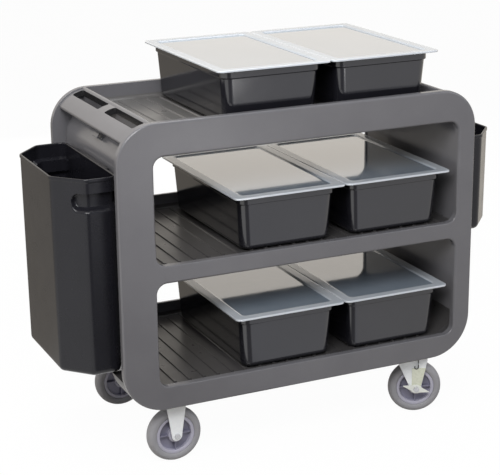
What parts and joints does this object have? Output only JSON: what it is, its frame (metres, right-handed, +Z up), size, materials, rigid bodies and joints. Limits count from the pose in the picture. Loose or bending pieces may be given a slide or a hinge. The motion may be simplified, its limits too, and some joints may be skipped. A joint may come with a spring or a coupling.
{
  "type": "serving trolley",
  "caption": "Moulded serving trolley with rounded ring frames, ribbed shelves, lidded food pans, an end bin, a cutlery holder, and rigid and braked swivel casters.",
  "frame": {"origin": "on the floor below the middle of the trolley's outline", "axes": "+X along the trolley from the refuse bin to the cutlery holder, +Y from the open front to the back with its raised lips, +Z up"},
  "size_m": [1.3, 0.546, 1.0466],
  "materials": {
    "body_plastic": "dark warm grey, satin, finely grained moulded plastic",
    "tub_plastic": "black satin moulded plastic",
    "pan_plastic": "glossy black",
    "lid_plastic": "milky translucent, satin",
    "tyre_rubber": "grey non-marking rubber",
    "hub_plastic": "blue grey moulded plastic",
    "bush_steel": "plain steel",
    "fork_zinc": "bright zinc plated pressed steel",
    "brake_steel": "yellow passivated zinc",
    "bolt_steel": "zinc plated",
    "hanger_steel": "black powder coat"
  },
  "bodies": {
    "trolley": {"front_frame": "body_plastic", "back_frame": "body_plastic", "top_shelf": "body_plastic", "middle_shelf": "body_plastic", "bottom_shelf": "body_plastic", "left_end_panel": "body_plastic", "right_end_panel": "body_plastic", "left_handle": "body_plastic", "right_handle": "body_plastic", "bin_hanger": "hanger_steel", "holder_hanger": "hanger_steel", "hanger_screws": "bolt_steel", "bag_hook": "body_plastic", "caster_screws": "bolt_steel", "front_rigid_fork": "fork_zinc", "rear_rigid_fork": "fork_zinc", "front_rigid_axle": "bolt_steel", "rear_rigid_axle": "bolt_steel", "front_swivel_plate": "fork_zinc", "rear_swivel_plate": "fork_zinc", "front_kingpin": "bolt_steel", "rear_kingpin": "bolt_steel"},
    "front_left_wheel": {"front_left_tyre": "tyre_rubber", "front_left_hub": "hub_plastic", "front_left_bush": "bush_steel"},
    "front_swivel": {"front_swivel_fork": "fork_zinc", "front_ball_race": "bolt_steel", "front_swivel_axle": "bolt_steel", "front_brake_plate": "brake_steel"},
    "front_right_wheel": {"front_right_tyre": "tyre_rubber", "front_right_hub": "hub_plastic", "front_right_bush": "bush_steel"},
    "front_brake": {"front_brake_lever": "brake_steel"},
    "rear_left_wheel": {"rear_left_tyre": "tyre_rubber", "rear_left_hub": "hub_plastic", "rear_left_bush": "bush_steel"},
    "rear_swivel": {"rear_swivel_fork": "fork_zinc", "rear_ball_race": "bolt_steel", "rear_swivel_axle": "bolt_steel", "rear_brake_plate": "brake_steel"},
    "rear_right_wheel": {"rear_right_tyre": "tyre_rubber", "rear_right_hub": "hub_plastic", "rear_right_bush": "bush_steel"},
    "rear_brake": {"rear_brake_lever": "brake_steel"},
    "bin": {"refuse_bin": "tub_plastic"},
    "holder": {"cutlery_holder": "tub_plastic"},
    "top_right_pan_body": {"top_right_pan": "pan_plastic"},
    "top_right_lid_body": {"top_right_lid": "lid_plastic"},
    "top_left_pan_body": {"top_left_pan": "pan_plastic"},
    "top_left_lid_body": {"top_left_lid": "lid_plastic"},
    "middle_right_pan_body": {"middle_right_pan": "pan_plastic"},
    "middle_right_lid_body": {"middle_right_lid": "lid_plastic"},
    "middle_left_pan_body": {"middle_left_pan": "pan_plastic"},
    "middle_left_lid_body": {"middle_left_lid": "lid_plastic"},
    "bottom_right_pan_body": {"bottom_right_pan": "pan_plastic"},
    "bottom_right_lid_body": {"bottom_right_lid": "lid_plastic"},
    "bottom_left_pan_body": {"bottom_left_pan": "pan_plastic"},
    "bottom_left_lid_body": {"bottom_left_lid": "lid_plastic"}
  },
  "joints": [
    {"name": "front_left_roll", "type": "hinge", "parent": "trolley", "child": "front_left_wheel", "pos_m": [-0.366, -0.206, 0.076], "axis": [0, 1, 0], "continuous": true},
    {"name": "front_swivel_turn", "type": "hinge", "parent": "trolley", "child": "front_swivel", "pos_m": [0.357, -0.206, 0.167], "axis": [0, 0, 1], "continuous": true},
    {"name": "front_right_roll", "type": "hinge", "parent": "front_swivel", "child": "front_right_wheel", "pos_m": [0.37579, -0.21284, 0.076], "axis": [0.342, 0.9397, 0], "continuous": true},
    {"name": "front_brake_press", "type": "hinge", "parent": "front_swivel", "child": "front_brake", "pos_m": [0.37579, -0.21284, 0.076], "axis": [0.342, 0.9397, 0], "range_deg": [0, 20]},
    {"name": "rear_left_roll", "type": "hinge", "parent": "trolley", "child": "rear_left_wheel", "pos_m": [-0.366, 0.206, 0.076], "axis": [0, 1, 0], "continuous": true},
    {"name": "rear_swivel_turn", "type": "hinge", "parent": "trolley", "child": "rear_swivel", "pos_m": [0.357, 0.206, 0.167], "axis": [0, 0, 1], "continuous": true},
    {"name": "rear_right_roll", "type": "hinge", "parent": "rear_swivel", "child": "rear_right_wheel", "pos_m": [0.37656, 0.21016, 0.076], "axis": [-0.2079, 0.9781, 0], "continuous": true},
    {"name": "rear_brake_press", "type": "hinge", "parent": "rear_swivel", "child": "rear_brake", "pos_m": [0.37656, 0.21016, 0.076], "axis": [-0.2079, 0.9781, 0], "range_deg": [0, 20]},
    {"name": "bin_lift", "type": "slide", "parent": "trolley", "child": "bin", "axis": [0, 0, 1], "range_m": [0, 0.045]},
    {"name": "holder_lift", "type": "slide", "parent": "trolley", "child": "holder", "axis": [0, 0, 1], "range_m": [0, 0.045]},
    {"name": "top_right_pan_lift", "type": "slide", "parent": "trolley", "child": "top_right_pan_body", "axis": [0, 0, 1], "range_m": [0, 0.15]},
    {"name": "top_right_lid_lift", "type": "slide", "parent": "top_right_pan_body", "child": "top_right_lid_body", "axis": [0, 0, 1], "range_m": [0, 0.06]},
    {"name": "top_left_pan_lift", "type": "slide", "parent": "trolley", "child": "top_left_pan_body", "axis": [0, 0, 1], "range_m": [0, 0.15]},
    {"name": "top_left_lid_lift", "type": "slide", "parent": "top_left_pan_body", "child": "top_left_lid_body", "axis": [0, 0, 1], "range_m": [0, 0.06]},
    {"name": "middle_right_pan_pull", "type": "slide", "parent": "trolley", "child": "middle_right_pan_body", "axis": [0, -1, 0], "range_m": [0, 0.55]},
    {"name": "middle_right_lid_lift", "type": "slide", "parent": "middle_right_pan_body", "child": "middle_right_lid_body", "axis": [0, 0, 1], "range_m": [0, 0.06]},
    {"name": "middle_left_pan_pull", "type": "slide", "parent": "trolley", "child": "middle_left_pan_body", "axis": [0, -1, 0], "range_m": [0, 0.55]},
    {"name": "middle_left_lid_lift", "type": "slide", "parent": "middle_left_pan_body", "child": "middle_left_lid_body", "axis": [0, 0, 1], "range_m": [0, 0.06]},
    {"name": "bottom_right_pan_pull", "type": "slide", "parent": "trolley", "child": "bottom_right_pan_body", "axis": [0, -1, 0], "range_m": [0, 0.55]},
    {"name": "bottom_right_lid_lift", "type": "slide", "parent": "bottom_right_pan_body", "child": "bottom_right_lid_body", "axis": [0, 0, 1], "range_m": [0, 0.06]},
    {"name": "bottom_left_pan_pull", "type": "slide", "parent": "trolley", "child": "bottom_left_pan_body", "axis": [0, -1, 0], "range_m": [0, 0.55]},
    {"name": "bottom_left_lid_lift", "type": "slide", "parent": "bottom_left_pan_body", "child": "bottom_left_lid_body", "axis": [0, 0, 1], "range_m": [0, 0.06]}
  ]
}
